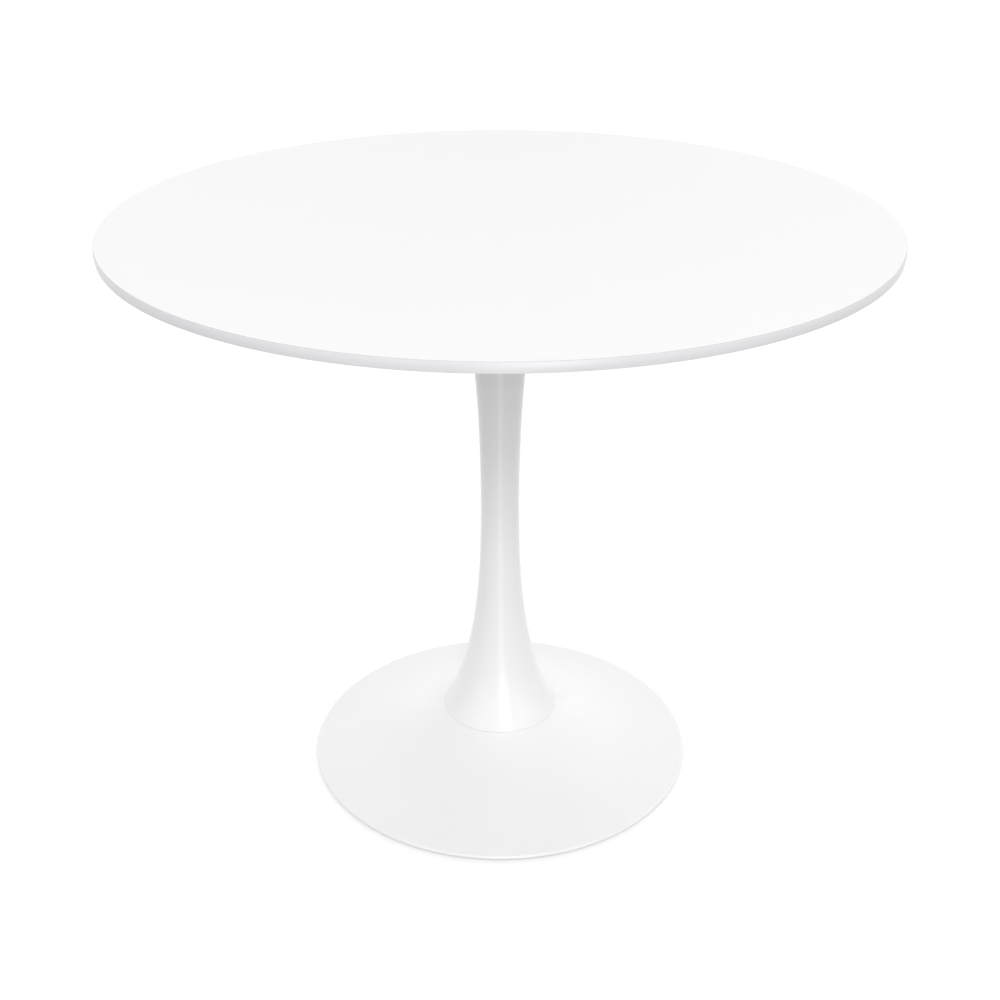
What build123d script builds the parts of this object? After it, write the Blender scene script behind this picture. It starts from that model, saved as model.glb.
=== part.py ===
"""Round pedestal table: a lacquered top on a spun steel trumpet column and a weighted round base.

Frame: millimetres, +Z up, origin on the floor under the column's axis.
"""

from build123d import *
import math
import os

# Overall sizes
TABLE_HEIGHT = 730.0
TOP_DIAMETER = 900.0
BASE_DIAMETER = 500.0

# Table top: a board with a slightly convex edge band above a bevel that thins it from below
TOP_THICKNESS = 18.0
BAND_HEIGHT = 11.0
BAND_CROWN = 0.5
TOP_ARRIS = 0.8
BEVEL_WIDTH = 26.0

# Column: outline is two curves that meet at the waist, each with its own handle lengths
WAIST_RADIUS = 24.0
WAIST_HEIGHT = 369.0
WAIST_HANDLE_DOWN = 134.0
WAIST_HANDLE_UP = 101.0
FOOT_RADIUS = 75.0
FOOT_HEIGHT = 70.0
FOOT_ANGLE = 61.0
FOOT_HANDLE = 78.5
FOOT_EDGE_RADIUS = 0.4
HEAD_RADIUS = 68.0
HEAD_ANGLE = 58.7
HEAD_HANDLE = 74.7
COLUMN_WALL = 2.0
FOOT_OPENING_RADIUS = 46.0
HEAD_OPENING_RADIUS = 52.0

# Seam gasket between the column's foot and the base's ledge
GASKET_THICKNESS = 0.5
GASKET_SETBACK = 0.7

# Base shell: a ledge under the column, a concave cone and a rolled rim
SHELL_WALL = 1.5
LEDGE_INNER_RADIUS = 45.0
LEDGE_CORNER_RADIUS = 0.8
LEDGE_CORNER_SETBACK = 0.6
CONE_TOP_ANGLE = 46.0
CONE_TOP_HANDLE = 46.0
CONE_RIM_ANGLE = 5.5
CONE_RIM_HANDLE = 75.0
RIM_RADIUS = 3.0
RIM_CLEARANCE = 3.5
LIP_INNER_RADIUS = 226.0

# Base plate, ballast and hub
PLATE_THICKNESS = 4.0
PLATE_RADIUS = 232.0
ACCESS_RADIUS = 30.0
BALLAST_RADIUS = 165.0
BALLAST_BORE_RADIUS = 63.0
BALLAST_THICKNESS = 10.0
BALLAST_SCREW_CIRCLE = 120.0
BALLAST_SCREW_COUNT = 4
BALLAST_SCREW_LENGTH = 12.0
BALLAST_HEAD_RADIUS = 5.6
BALLAST_HEAD_HEIGHT = 2.7
HUB_RADIUS = 60.0
HUB_WALL = 3.0
HUB_TOP_THICKNESS = 6.0
SPIGOT_RADIUS = 44.5
SPIGOT_WALL = 3.0
SPIGOT_HEIGHT = 4.0
CAP_FLANGE_RADIUS = 33.0
CAP_WALL = 2.0

# Top plate and its fasteners
TOP_PLATE_RADIUS = 140.0
TOP_PLATE_THICKNESS = 4.0
TOP_SCREW_CIRCLE = 120.0
TOP_SCREW_COUNT = 8
TOP_SCREW_LENGTH = 14.0
SCREW_HEAD_RADIUS = 5.5
SCREW_HEAD_HEIGHT = 3.6
SCREW_HEAD_ROUND = 1.2
SCREW_SOCKET_WIDTH = 4.0
SCREW_SOCKET_DEPTH = 2.0
M6_SHANK_RADIUS = 2.95
M6_THREAD_RADIUS = 3.05
M6_CLEARANCE_RADIUS = 3.3
M6_WASHER_RADIUS = 6.0
M6_WASHER_THICKNESS = 1.6
INSERT_RADIUS = 4.5
INSERT_LENGTH = 12.0
INSERT_HOLE_RADIUS = 4.55
INSERT_HOLE_DEPTH = 13.0

# Tie rod and its fasteners
ROD_RADIUS = 5.9
ROD_CHAMFER = 1.0
ROD_TOP_GAP = 2.0
ROD_TAIL = 3.0
M12_THREAD_RADIUS = 6.0
M12_CLEARANCE_RADIUS = 6.5
M12_HEX_WIDTH = 19.0
ANCHOR_NUT_LENGTH = 30.0
HUB_WASHER_RADIUS = 18.5
HUB_WASHER_THICKNESS = 3.0
SPRING_WASHER_RADIUS = 10.5
SPRING_WASHER_THICKNESS = 2.5
SPRING_WASHER_GAP = 2.0
HUB_NUT_HEIGHT = 10.8
RING_RADIUS = 51.5
RING_WALL = 3.0
RING_HEIGHT = 8.0

# Play of a close fit, on the radius
SMALL_FIT = 0.1

# Levelling glides: a threaded stud with a hex flange, snapped into a plastic pad
GLIDE_COUNT = 4
GLIDE_CIRCLE = 185.0
GLIDE_START_ANGLE = 45.0
STUD_SHANK_RADIUS = 3.9
STUD_THREAD_RADIUS = 4.0
STUD_FLANGE_WIDTH = 14.0
STUD_FLANGE_THICKNESS = 2.0
STUD_NECK_RADIUS = 3.5
STUD_BUTTON_RADIUS = 4.5
STUD_BUTTON_THICKNESS = 0.8
WELD_NUT_WIDTH = 13.0
WELD_NUT_HEIGHT = 6.0
PAD_RADIUS = 14.0
PAD_THICKNESS = 2.8
PAD_FLOOR = 1.0
PAD_EDGE_RADIUS = 0.8
PAD_CATCH_HEIGHT = 0.6

# Heights of the stack, from the floor up
PLATE_BOTTOM = RIM_CLEARANCE + SHELL_WALL
PLATE_TOP = PLATE_BOTTOM + PLATE_THICKNESS
LEDGE_TOP = FOOT_HEIGHT - GASKET_THICKNESS
HUB_TOP = LEDGE_TOP - SHELL_WALL
TOP_BOTTOM = TABLE_HEIGHT - TOP_THICKNESS
TOP_PLATE_BOTTOM = TOP_BOTTOM - TOP_PLATE_THICKNESS
HUB_WASHER_BOTTOM = HUB_TOP - HUB_TOP_THICKNESS - HUB_WASHER_THICKNESS
SPRING_WASHER_BOTTOM = HUB_WASHER_BOTTOM - SPRING_WASHER_THICKNESS
HUB_NUT_BOTTOM = SPRING_WASHER_BOTTOM - HUB_NUT_HEIGHT
STUD_FLANGE_BOTTOM = PLATE_BOTTOM - STUD_FLANGE_THICKNESS

SEATED = (Align.CENTER, Align.CENTER, Align.MIN)


def disc(radius, bottom, top):
    """Solid cylinder on the vertical axis between two heights."""
    return Pos(0, 0, bottom) * Cylinder(radius, top - bottom, align=SEATED)


def ring(outer, inner, bottom, top):
    """Cylinder with a round hole through it."""
    return disc(outer, bottom, top) - disc(inner, bottom, top)


def hexagon(width, bottom, top):
    """Six-sided prism, width across its flats."""
    outline = RegularPolygon(width / 2, 6, major_radius=False)
    return extrude(Pos(0, 0, bottom) * outline, top - bottom)


def around(shape, count, circle, start_angle=0.0):
    """Copies of a shape evenly spaced on a circle about the vertical axis."""
    return [place * shape for place in PolarLocations(circle, count, start_angle)]


def turned(edges):
    """Solid made by turning a closed outline in the XZ plane about the vertical axis."""
    return revolve(make_face(Curve() + edges), Axis.Z)


def point(radius, height):
    """Point of an outline in the XZ plane."""
    return (radius, 0, height)


def line(start, end):
    """Straight edge between two (radius, height) points."""
    return Line(point(*start), point(*end))


def arc(start, middle, end):
    """Circular edge through three (radius, height) points."""
    return ThreePointArc(point(*start), point(*middle), point(*end))


def curve(start, start_handle, end_handle, end):
    """Cubic curve; a handle is (length, degrees above the outward direction)."""
    first = toward(start, *start_handle)
    last = toward(end, *end_handle)
    return Bezier(point(*start), point(*first), point(*last), point(*end))


def toward(start, length, angle):
    """Point at a distance and an angle in degrees above the outward direction."""
    turn = math.radians(angle)
    return (start[0] + length * math.cos(turn), start[1] + length * math.sin(turn))


def table_top():
    """Board with a rounded upper edge, a convex band, a bevel below and blind holes for the inserts."""
    radius = TOP_DIAMETER / 2
    side = radius - BAND_CROWN
    band_bottom = TABLE_HEIGHT - BAND_HEIGHT
    centre = (0, TABLE_HEIGHT)
    edge = (side - TOP_ARRIS, TABLE_HEIGHT)
    arris_middle = toward((side - TOP_ARRIS, TABLE_HEIGHT - TOP_ARRIS), TOP_ARRIS, 45)
    shoulder = (side, TABLE_HEIGHT - TOP_ARRIS)
    crown = (radius, (shoulder[1] + band_bottom) / 2)
    lower = (side, band_bottom)
    bevel_foot = (side - BEVEL_WIDTH, TOP_BOTTOM)
    floor_centre = (0, TOP_BOTTOM)
    board = turned([
        line(centre, edge),
        arc(edge, arris_middle, shoulder),
        arc(shoulder, crown, lower),
        line(lower, bevel_foot),
        line(bevel_foot, floor_centre),
        line(floor_centre, centre),
    ])
    hole = disc(INSERT_HOLE_RADIUS, TOP_BOTTOM, TOP_BOTTOM + INSERT_HOLE_DEPTH)
    return board - around(hole, TOP_SCREW_COUNT, TOP_SCREW_CIRCLE)


def insert_nuts():
    """Threaded inserts pressed into the board's blind holes."""
    insert = ring(INSERT_RADIUS, M6_THREAD_RADIUS, TOP_BOTTOM, TOP_BOTTOM + INSERT_LENGTH)
    return Compound(around(insert, TOP_SCREW_COUNT, TOP_SCREW_CIRCLE))


def top_plate():
    """Round steel plate under the board, drilled for the screws."""
    hole = disc(M6_CLEARANCE_RADIUS, TOP_PLATE_BOTTOM, TOP_BOTTOM)
    plate = disc(TOP_PLATE_RADIUS, TOP_PLATE_BOTTOM, TOP_BOTTOM)
    return plate - around(hole, TOP_SCREW_COUNT, TOP_SCREW_CIRCLE)


def top_plate_screws():
    """Pan head screws with a hexagon socket, driven up through the plate into the inserts."""
    head_top = TOP_PLATE_BOTTOM - M6_WASHER_THICKNESS
    head_bottom = head_top - SCREW_HEAD_HEIGHT
    head = disc(SCREW_HEAD_RADIUS, head_bottom, head_top)
    head = fillet(head.edges().sort_by(Axis.Z)[0], SCREW_HEAD_ROUND)
    socket = hexagon(SCREW_SOCKET_WIDTH, head_bottom, head_bottom + SCREW_SOCKET_DEPTH)
    shank = disc(M6_SHANK_RADIUS, head_top, head_top + TOP_SCREW_LENGTH)
    return Compound(around(head - socket + shank, TOP_SCREW_COUNT, TOP_SCREW_CIRCLE))


def top_plate_washers():
    """Flat washers between the screw heads and the plate."""
    bottom = TOP_PLATE_BOTTOM - M6_WASHER_THICKNESS
    washer = ring(M6_WASHER_RADIUS, M6_CLEARANCE_RADIUS, bottom, TOP_PLATE_BOTTOM)
    return Compound(around(washer, TOP_SCREW_COUNT, TOP_SCREW_CIRCLE))


def tie_rod_anchor_nut():
    """Coupling nut welded under the plate, which holds the tie rod's upper end."""
    bottom = TOP_PLATE_BOTTOM - ANCHOR_NUT_LENGTH
    body = hexagon(M12_HEX_WIDTH, bottom, TOP_PLATE_BOTTOM)
    return body - disc(M12_THREAD_RADIUS, bottom, TOP_PLATE_BOTTOM)


def column_locating_ring():
    """Ring welded under the plate that centres the column's head."""
    return ring(RING_RADIUS, RING_RADIUS - RING_WALL, TOP_PLATE_BOTTOM - RING_HEIGHT, TOP_PLATE_BOTTOM)


def column():
    """Spun steel shell with a flange turned in at each end."""
    foot_top = FOOT_HEIGHT + COLUMN_WALL
    head_bottom = TOP_PLATE_BOTTOM - COLUMN_WALL
    foot_rise = 180 - FOOT_ANGLE
    head_fall = 180 + HEAD_ANGLE

    edge_outward = 90 - FOOT_ANGLE
    edge_drop = FOOT_EDGE_RADIUS * (1 + math.sin(math.radians(edge_outward)))
    foot = (FOOT_RADIUS, FOOT_HEIGHT + edge_drop)
    edge_centre = toward(foot, FOOT_EDGE_RADIUS, edge_outward + 180)
    edge_start = (edge_centre[0], FOOT_HEIGHT)
    edge_middle = toward(edge_centre, FOOT_EDGE_RADIUS, (edge_outward - 90) / 2)
    waist = (WAIST_RADIUS, WAIST_HEIGHT)
    head = (HEAD_RADIUS, TOP_PLATE_BOTTOM)

    inner_foot, foot_cut = inner_end(foot, foot_rise, foot_rise + 90, COLUMN_WALL, foot_top)
    inner_waist = (WAIST_RADIUS - COLUMN_WALL, WAIST_HEIGHT)
    inner_head, head_cut = inner_end(head, head_fall, head_fall - 90, COLUMN_WALL, head_bottom)

    foot_bore = (FOOT_OPENING_RADIUS, FOOT_HEIGHT)
    foot_bore_top = (FOOT_OPENING_RADIUS, foot_top)
    head_bore = (HEAD_OPENING_RADIUS, TOP_PLATE_BOTTOM)
    head_bore_bottom = (HEAD_OPENING_RADIUS, head_bottom)
    return turned([
        line(foot_bore, edge_start),
        arc(edge_start, edge_middle, foot),
        curve(foot, (FOOT_HANDLE, foot_rise), (WAIST_HANDLE_DOWN, -90), waist),
        curve(waist, (WAIST_HANDLE_UP, 90), (HEAD_HANDLE, head_fall), head),
        line(head, head_bore),
        line(head_bore, head_bore_bottom),
        line(head_bore_bottom, inner_head),
        curve(inner_head, (HEAD_HANDLE - head_cut, head_fall), (WAIST_HANDLE_UP, 90), inner_waist),
        curve(inner_waist, (WAIST_HANDLE_DOWN, -90), (FOOT_HANDLE - foot_cut, foot_rise), inner_foot),
        line(inner_foot, foot_bore_top),
        line(foot_bore_top, foot_bore),
    ])


def inner_end(outer_end, along, inward, wall, level):
    """Where a shell's inner surface meets a flat flange, and how far that is from its outer end.

    The inner surface runs one wall inside the outer one, in the same direction.
    """
    start = toward(outer_end, wall, inward)
    distance = (level - start[1]) / math.sin(math.radians(along))
    return toward(start, distance, along), distance


def tie_rod():
    """Threaded rod that pulls the top plate down on the column, shown without its thread."""
    rod = disc(ROD_RADIUS, HUB_NUT_BOTTOM - ROD_TAIL, TOP_PLATE_BOTTOM - ROD_TOP_GAP)
    return chamfer(rod.edges().filter_by(GeomType.CIRCLE), ROD_CHAMFER)


def column_foot_gasket():
    """Thin ring set back in the seam between the column and the base."""
    return ring(FOOT_RADIUS - GASKET_SETBACK, FOOT_OPENING_RADIUS, LEDGE_TOP, FOOT_HEIGHT)


def base_shell():
    """Spun steel cover: ledge, concave cone, rolled rim and a lip under the base plate's edge."""
    rim_centre = (BASE_DIAMETER / 2 - RIM_RADIUS, RIM_CLEARANCE + RIM_RADIUS)
    inner_rim = RIM_RADIUS - SHELL_WALL
    rim_start_angle = 90 - CONE_RIM_ANGLE
    corner_end_angle = 90 - CONE_TOP_ANGLE
    cone_fall = -CONE_TOP_ANGLE
    rim_rise = 180 - CONE_RIM_ANGLE

    ledge_inner = (LEDGE_INNER_RADIUS, LEDGE_TOP)
    corner_centre = (FOOT_RADIUS - LEDGE_CORNER_SETBACK, LEDGE_TOP - LEDGE_CORNER_RADIUS)
    ledge_outer = toward(corner_centre, LEDGE_CORNER_RADIUS, 90)
    corner_middle = toward(corner_centre, LEDGE_CORNER_RADIUS, (90 + corner_end_angle) / 2)
    cone_top = toward(corner_centre, LEDGE_CORNER_RADIUS, corner_end_angle)
    inner_top, top_cut = inner_end(cone_top, cone_fall, corner_end_angle - 180, SHELL_WALL, HUB_TOP)
    cone_rim = toward(rim_centre, RIM_RADIUS, rim_start_angle)
    rim_side = toward(rim_centre, RIM_RADIUS, 0)
    rim_bottom = toward(rim_centre, RIM_RADIUS, -90)
    lip_bottom = (LIP_INNER_RADIUS, RIM_CLEARANCE)
    lip_top = (LIP_INNER_RADIUS, PLATE_BOTTOM)
    inner_bottom = toward(rim_centre, inner_rim, -90)
    inner_side = toward(rim_centre, inner_rim, 0)
    inner_cone_rim = toward(rim_centre, inner_rim, rim_start_angle)
    ledge_under = (LEDGE_INNER_RADIUS, HUB_TOP)
    inner_top_handle = (CONE_TOP_HANDLE - top_cut, cone_fall)
    return turned([
        line(ledge_inner, ledge_outer),
        arc(ledge_outer, corner_middle, cone_top),
        curve(cone_top, (CONE_TOP_HANDLE, cone_fall), (CONE_RIM_HANDLE, rim_rise), cone_rim),
        arc(cone_rim, rim_side, rim_bottom),
        line(rim_bottom, lip_bottom),
        line(lip_bottom, lip_top),
        line(lip_top, inner_bottom),
        arc(inner_bottom, inner_side, inner_cone_rim),
        curve(inner_cone_rim, (CONE_RIM_HANDLE, rim_rise), inner_top_handle, inner_top),
        line(inner_top, ledge_under),
        line(ledge_under, ledge_inner),
    ])


def base_hub():
    """Steel cup on the base plate that carries the column, with a spigot that centres it."""
    cup = disc(HUB_RADIUS, PLATE_TOP, HUB_TOP)
    hollow = disc(HUB_RADIUS - HUB_WALL, PLATE_TOP, HUB_TOP - HUB_TOP_THICKNESS)
    spigot = ring(SPIGOT_RADIUS, SPIGOT_RADIUS - SPIGOT_WALL, HUB_TOP, HUB_TOP + SPIGOT_HEIGHT)
    rod_hole = disc(M12_CLEARANCE_RADIUS, PLATE_TOP, HUB_TOP)
    return cup - hollow - rod_hole + spigot


def hub_washer():
    """Wide washer under the hub's top."""
    top = HUB_WASHER_BOTTOM + HUB_WASHER_THICKNESS
    return ring(HUB_WASHER_RADIUS, M12_CLEARANCE_RADIUS, HUB_WASHER_BOTTOM, top)


def hub_spring_washer():
    """Split washer that keeps the tie rod's nut tight."""
    washer = ring(SPRING_WASHER_RADIUS, M12_CLEARANCE_RADIUS, SPRING_WASHER_BOTTOM, HUB_WASHER_BOTTOM)
    middle = (SPRING_WASHER_BOTTOM + HUB_WASHER_BOTTOM) / 2
    split = Pos(SPRING_WASHER_RADIUS, 0, middle) * Box(
        2 * SPRING_WASHER_RADIUS, SPRING_WASHER_GAP, 2 * SPRING_WASHER_THICKNESS
    )
    return washer - split


def hub_nut():
    """Nut on the tie rod's lower end."""
    body = hexagon(M12_HEX_WIDTH, HUB_NUT_BOTTOM, SPRING_WASHER_BOTTOM)
    return body - disc(M12_THREAD_RADIUS, HUB_NUT_BOTTOM, SPRING_WASHER_BOTTOM)


def hub_cap():
    """Plastic plug that closes the access hole under the hub."""
    plug_radius = ACCESS_RADIUS - 2 * SMALL_FIT
    flange = disc(CAP_FLANGE_RADIUS, RIM_CLEARANCE, PLATE_BOTTOM)
    skirt = ring(plug_radius, plug_radius - CAP_WALL, PLATE_BOTTOM, PLATE_TOP)
    return flange + skirt


def ballast_screw(thread_radius, growth):
    """Countersunk screw on the vertical axis; growth widens the head to make its seat."""
    head_radius = BALLAST_HEAD_RADIUS + growth
    neck = PLATE_BOTTOM + BALLAST_HEAD_HEIGHT
    head = Pos(0, 0, PLATE_BOTTOM) * Cone(head_radius, thread_radius, BALLAST_HEAD_HEIGHT, align=SEATED)
    return head + disc(thread_radius, neck, PLATE_BOTTOM + BALLAST_SCREW_LENGTH)


def base_plate():
    """Round steel plate with an access hole, countersunk holes and threaded glide holes."""
    plate = disc(PLATE_RADIUS, PLATE_BOTTOM, PLATE_TOP) - disc(ACCESS_RADIUS, PLATE_BOTTOM, PLATE_TOP)
    seat = ballast_screw(M6_THREAD_RADIUS, SMALL_FIT)
    glide_hole = disc(STUD_THREAD_RADIUS, PLATE_BOTTOM, PLATE_TOP)
    plate -= around(seat, BALLAST_SCREW_COUNT, BALLAST_SCREW_CIRCLE)
    plate -= around(glide_hole, GLIDE_COUNT, GLIDE_CIRCLE, GLIDE_START_ANGLE)
    return plate


def ballast_disc():
    """Steel weight round the hub, tapped for its screws."""
    top = PLATE_TOP + BALLAST_THICKNESS
    weight = ring(BALLAST_RADIUS, BALLAST_BORE_RADIUS, PLATE_TOP, top)
    hole = disc(M6_THREAD_RADIUS, PLATE_TOP, top)
    return weight - around(hole, BALLAST_SCREW_COUNT, BALLAST_SCREW_CIRCLE)


def ballast_screws():
    """Countersunk screws up through the base plate into the ballast."""
    socket = hexagon(SCREW_SOCKET_WIDTH, PLATE_BOTTOM, PLATE_BOTTOM + SCREW_SOCKET_DEPTH)
    screw = ballast_screw(M6_SHANK_RADIUS, 0) - socket
    return Compound(around(screw, BALLAST_SCREW_COUNT, BALLAST_SCREW_CIRCLE))


def glide_weld_nuts():
    """Nuts welded on the base plate, one over each glide."""
    top = PLATE_TOP + WELD_NUT_HEIGHT
    nut = hexagon(WELD_NUT_WIDTH, PLATE_TOP, top) - disc(STUD_THREAD_RADIUS, PLATE_TOP, top)
    return Compound(around(nut, GLIDE_COUNT, GLIDE_CIRCLE, GLIDE_START_ANGLE))


def glide_stud():
    """Threaded stud with a hex flange to turn it by and a button that snaps into the pad."""
    button_bottom = PAD_FLOOR + 2 * SMALL_FIT
    button_top = button_bottom + STUD_BUTTON_THICKNESS
    button = disc(STUD_BUTTON_RADIUS, button_bottom, button_top)
    neck = disc(STUD_NECK_RADIUS, button_top, STUD_FLANGE_BOTTOM)
    flange = hexagon(STUD_FLANGE_WIDTH, STUD_FLANGE_BOTTOM, PLATE_BOTTOM)
    shank = disc(STUD_SHANK_RADIUS, PLATE_BOTTOM, PLATE_TOP + WELD_NUT_HEIGHT)
    return button + neck + flange + shank


def glide_pad():
    """Plastic foot with a rounded lower edge and an undercut socket for the stud's button."""
    pad = disc(PAD_RADIUS, 0, PAD_THICKNESS)
    pad = fillet(pad.edges().filter_by(GeomType.CIRCLE).sort_by(Axis.Z)[0], PAD_EDGE_RADIUS)
    catch_bottom = PAD_THICKNESS - PAD_CATCH_HEIGHT
    pocket = disc(STUD_BUTTON_RADIUS + SMALL_FIT, PAD_FLOOR, catch_bottom)
    mouth = disc(STUD_NECK_RADIUS + SMALL_FIT, catch_bottom, PAD_THICKNESS)
    return pad - pocket - mouth


FIXED_PIECES = [
    table_top, insert_nuts, top_plate, top_plate_screws, top_plate_washers, tie_rod_anchor_nut,
    column_locating_ring, column, tie_rod, column_foot_gasket, base_shell, base_hub, hub_washer,
    hub_spring_washer, hub_nut, hub_cap, base_plate, ballast_disc, ballast_screws, glide_weld_nuts,
]

os.makedirs("parts", exist_ok=True)
for make in FIXED_PIECES:
    export_step(make(), f"parts/{make.__name__}.step")

for make in [glide_stud, glide_pad]:
    copies = around(make(), GLIDE_COUNT, GLIDE_CIRCLE, GLIDE_START_ANGLE)
    for number, piece in enumerate(copies, start=1):
        export_step(piece, f"parts/{make.__name__}_{number}.step")
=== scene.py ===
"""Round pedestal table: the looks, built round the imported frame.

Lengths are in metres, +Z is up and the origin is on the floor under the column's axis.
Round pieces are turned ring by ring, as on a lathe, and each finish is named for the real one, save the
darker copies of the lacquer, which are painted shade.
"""

import logging
import math
from collections.abc import Iterable, Mapping
from dataclasses import dataclass, field
from enum import Enum
from typing import Any

import bpy
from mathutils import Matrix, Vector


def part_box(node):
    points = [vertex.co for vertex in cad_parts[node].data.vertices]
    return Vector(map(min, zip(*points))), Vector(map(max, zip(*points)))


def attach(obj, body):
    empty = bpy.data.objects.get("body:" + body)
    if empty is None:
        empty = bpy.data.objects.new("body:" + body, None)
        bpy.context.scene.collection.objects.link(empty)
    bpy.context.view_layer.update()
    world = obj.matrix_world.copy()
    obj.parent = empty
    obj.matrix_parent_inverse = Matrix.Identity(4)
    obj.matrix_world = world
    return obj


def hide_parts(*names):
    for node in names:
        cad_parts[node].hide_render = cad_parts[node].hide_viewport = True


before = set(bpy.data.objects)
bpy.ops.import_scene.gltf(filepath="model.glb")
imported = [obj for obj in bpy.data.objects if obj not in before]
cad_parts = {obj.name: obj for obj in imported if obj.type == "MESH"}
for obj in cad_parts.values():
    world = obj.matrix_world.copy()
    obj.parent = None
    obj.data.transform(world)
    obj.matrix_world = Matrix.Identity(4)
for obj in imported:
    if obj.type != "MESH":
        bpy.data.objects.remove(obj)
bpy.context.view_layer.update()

log = logging.getLogger("pedestal_table")

Point = tuple[float, float]
MM = 0.001
TABLE = "table"

# The first ring round the axis of a solid piece. A fan of faces closes it.
INNERMOST = 0.5 * MM
# How many faces a bevel on a hexagon is drawn with.
BEVEL_SEGMENTS = 3
# Two points nearer than this are one point.
SAME_PLACE = 0.001 * MM


# ---------------------------------------------------------------- outlines and turning


class Start(Enum):
    """How the first ring of a turned piece begins."""

    SOLID = "TRIFAN"
    OPEN = "NOTHING"


class Joining(Enum):
    """What happens to a piece where a second solid meets it."""

    ADD = "UNION"
    CUT = "DIFFERENCE"


def toward(start: Point, length: float, degrees: float) -> Point:
    """Finds a point at a distance and a slope from another.

    Args:
        start: Radius and height to start from.
        length: Distance to go.
        degrees: Slope above the outward direction.

    Returns:
        Radius and height of the new point.
    """
    turn = math.radians(degrees)
    return (start[0] + length * math.cos(turn), start[1] + length * math.sin(turn))


@dataclass
class Outline:
    """A path of (radius, height) points that a lathe turns about the vertical axis."""

    points: list[Point] = field(default_factory=list)

    def line(self, *points: Point) -> "Outline":
        """Adds straight runs to the points given, and returns the outline."""
        self.points.extend(points)
        return self

    def arc(self, centre: Point, radius: float, first: float, last: float, steps: int) -> "Outline":
        """Adds points along a circular arc.

        Args:
            centre: Radius and height of the arc's centre.
            radius: The arc's own radius.
            first: Slope in degrees from the centre to the first point.
            last: Slope in degrees from the centre to the last point.
            steps: Number of equal steps between them.

        Returns:
            The outline itself.
        """
        angles = [first + (last - first) * step / steps for step in range(steps + 1)]
        self.points.extend(toward(centre, radius, angle) for angle in angles)
        return self

    def curve(self, start_handle: Point, end_handle: Point, end: Point, steps: int) -> "Outline":
        """Adds a cubic curve from the last point.

        Args:
            start_handle: Length and slope in degrees of the first handle.
            end_handle: Length and slope in degrees of the last handle, seen from the end.
            end: Radius and height of the curve's end.
            steps: Number of equal steps along the curve.

        Returns:
            The outline itself.
        """
        start = self.points[-1]
        controls = (start, toward(start, *start_handle), toward(end, *end_handle), end)
        for step in range(1, steps + 1):
            t = step / steps
            weights = ((1 - t) ** 3, 3 * t * (1 - t) ** 2, 3 * t * t * (1 - t), t**3)
            radius = sum(w * p[0] for w, p in zip(weights, controls))
            height = sum(w * p[1] for w, p in zip(weights, controls))
            self.points.append((radius, height))
        return self


@dataclass(frozen=True)
class Lathe:
    """Turns outlines into quad meshes about the vertical axis."""

    segments: int = 128
    crease_degrees: float = 35.0

    def turn(self, name: str, outline: Outline, start: Start = Start.SOLID) -> bpy.types.Object:
        """Raises a wall ring by ring along an outline.

        Args:
            name: Name of the new piece.
            outline: The path to follow.
            start: SOLID closes both ends on the axis, OPEN leaves a wall or a closed loop.

        Returns:
            The new piece, at the origin, with its normals pointing outward.
        """
        radius, height = outline.points[0]
        bpy.ops.object.select_all(action="DESELECT")
        bpy.ops.mesh.primitive_circle_add(
            vertices=self.segments, radius=radius, fill_type=start.value, location=(0, 0, height)
        )
        piece = bpy.context.object
        piece.name = name
        bpy.ops.object.mode_set(mode="EDIT")
        for next_radius, next_height in outline.points[1:]:
            rise = (0, 0, next_height - height)
            bpy.ops.mesh.extrude_region_move(TRANSFORM_OT_translate={"value": rise})
            growth = next_radius / radius
            bpy.ops.transform.resize(
                value=(growth, growth, 1), center_override=(0, 0, next_height)
            )
            radius, height = next_radius, next_height
        bpy.ops.object.mode_set(mode="OBJECT")
        close_and_face_out(piece)
        smooth(piece, self.crease_degrees)
        return piece


def close_and_face_out(piece: bpy.types.Object) -> None:
    """Merges doubled points, faces every normal outward and puts the piece's place in its mesh.

    Args:
        piece: The piece to close.
    """
    only(piece)
    bpy.ops.object.mode_set(mode="EDIT")
    bpy.ops.mesh.select_all(action="SELECT")
    bpy.ops.mesh.remove_doubles(threshold=SAME_PLACE)
    bpy.ops.mesh.normals_make_consistent(inside=False)
    bpy.ops.object.mode_set(mode="OBJECT")
    bpy.ops.object.transform_apply(location=True, rotation=True, scale=True)


def only(piece: bpy.types.Object) -> None:
    """Selects one piece alone and makes it active.

    Args:
        piece: The piece to select.
    """
    bpy.ops.object.select_all(action="DESELECT")
    piece.select_set(True)
    bpy.context.view_layer.objects.active = piece


def smooth(piece: bpy.types.Object, degrees: float) -> None:
    """Shades a piece smooth where its faces meet at less than the given angle."""
    only(piece)
    bpy.ops.object.shade_smooth_by_angle(angle=math.radians(degrees))


def apply_modifier(piece: bpy.types.Object, kind: str, **settings: Any) -> None:
    """Adds one modifier, sets it and applies it.

    Args:
        piece: The piece to change.
        kind: Blender's name of the modifier's type.
        **settings: Attributes of the modifier.
    """
    only(piece)
    bpy.ops.object.modifier_add(type=kind)
    modifier = piece.modifiers[-1]
    for name, value in settings.items():
        setattr(modifier, name, value)
    bpy.ops.object.modifier_apply(modifier=modifier.name)


def add_wall(piece: bpy.types.Object, thickness: float) -> None:
    """Thickens an open skin inward, so that it keeps its outer face."""
    apply_modifier(piece, "SOLIDIFY", thickness=thickness, offset=-1.0, use_even_offset=True)


def combine(piece: bpy.types.Object, tool: bpy.types.Object, joining: Joining) -> None:
    """Joins a second solid to a piece or cuts it away, and removes the second solid.

    Args:
        piece: The piece that stays.
        tool: The solid that is used up.
        joining: Whether the second solid is added or cut away.
    """
    apply_modifier(piece, "BOOLEAN", object=tool, operation=joining.value, solver="EXACT")
    bpy.data.objects.remove(tool)


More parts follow.
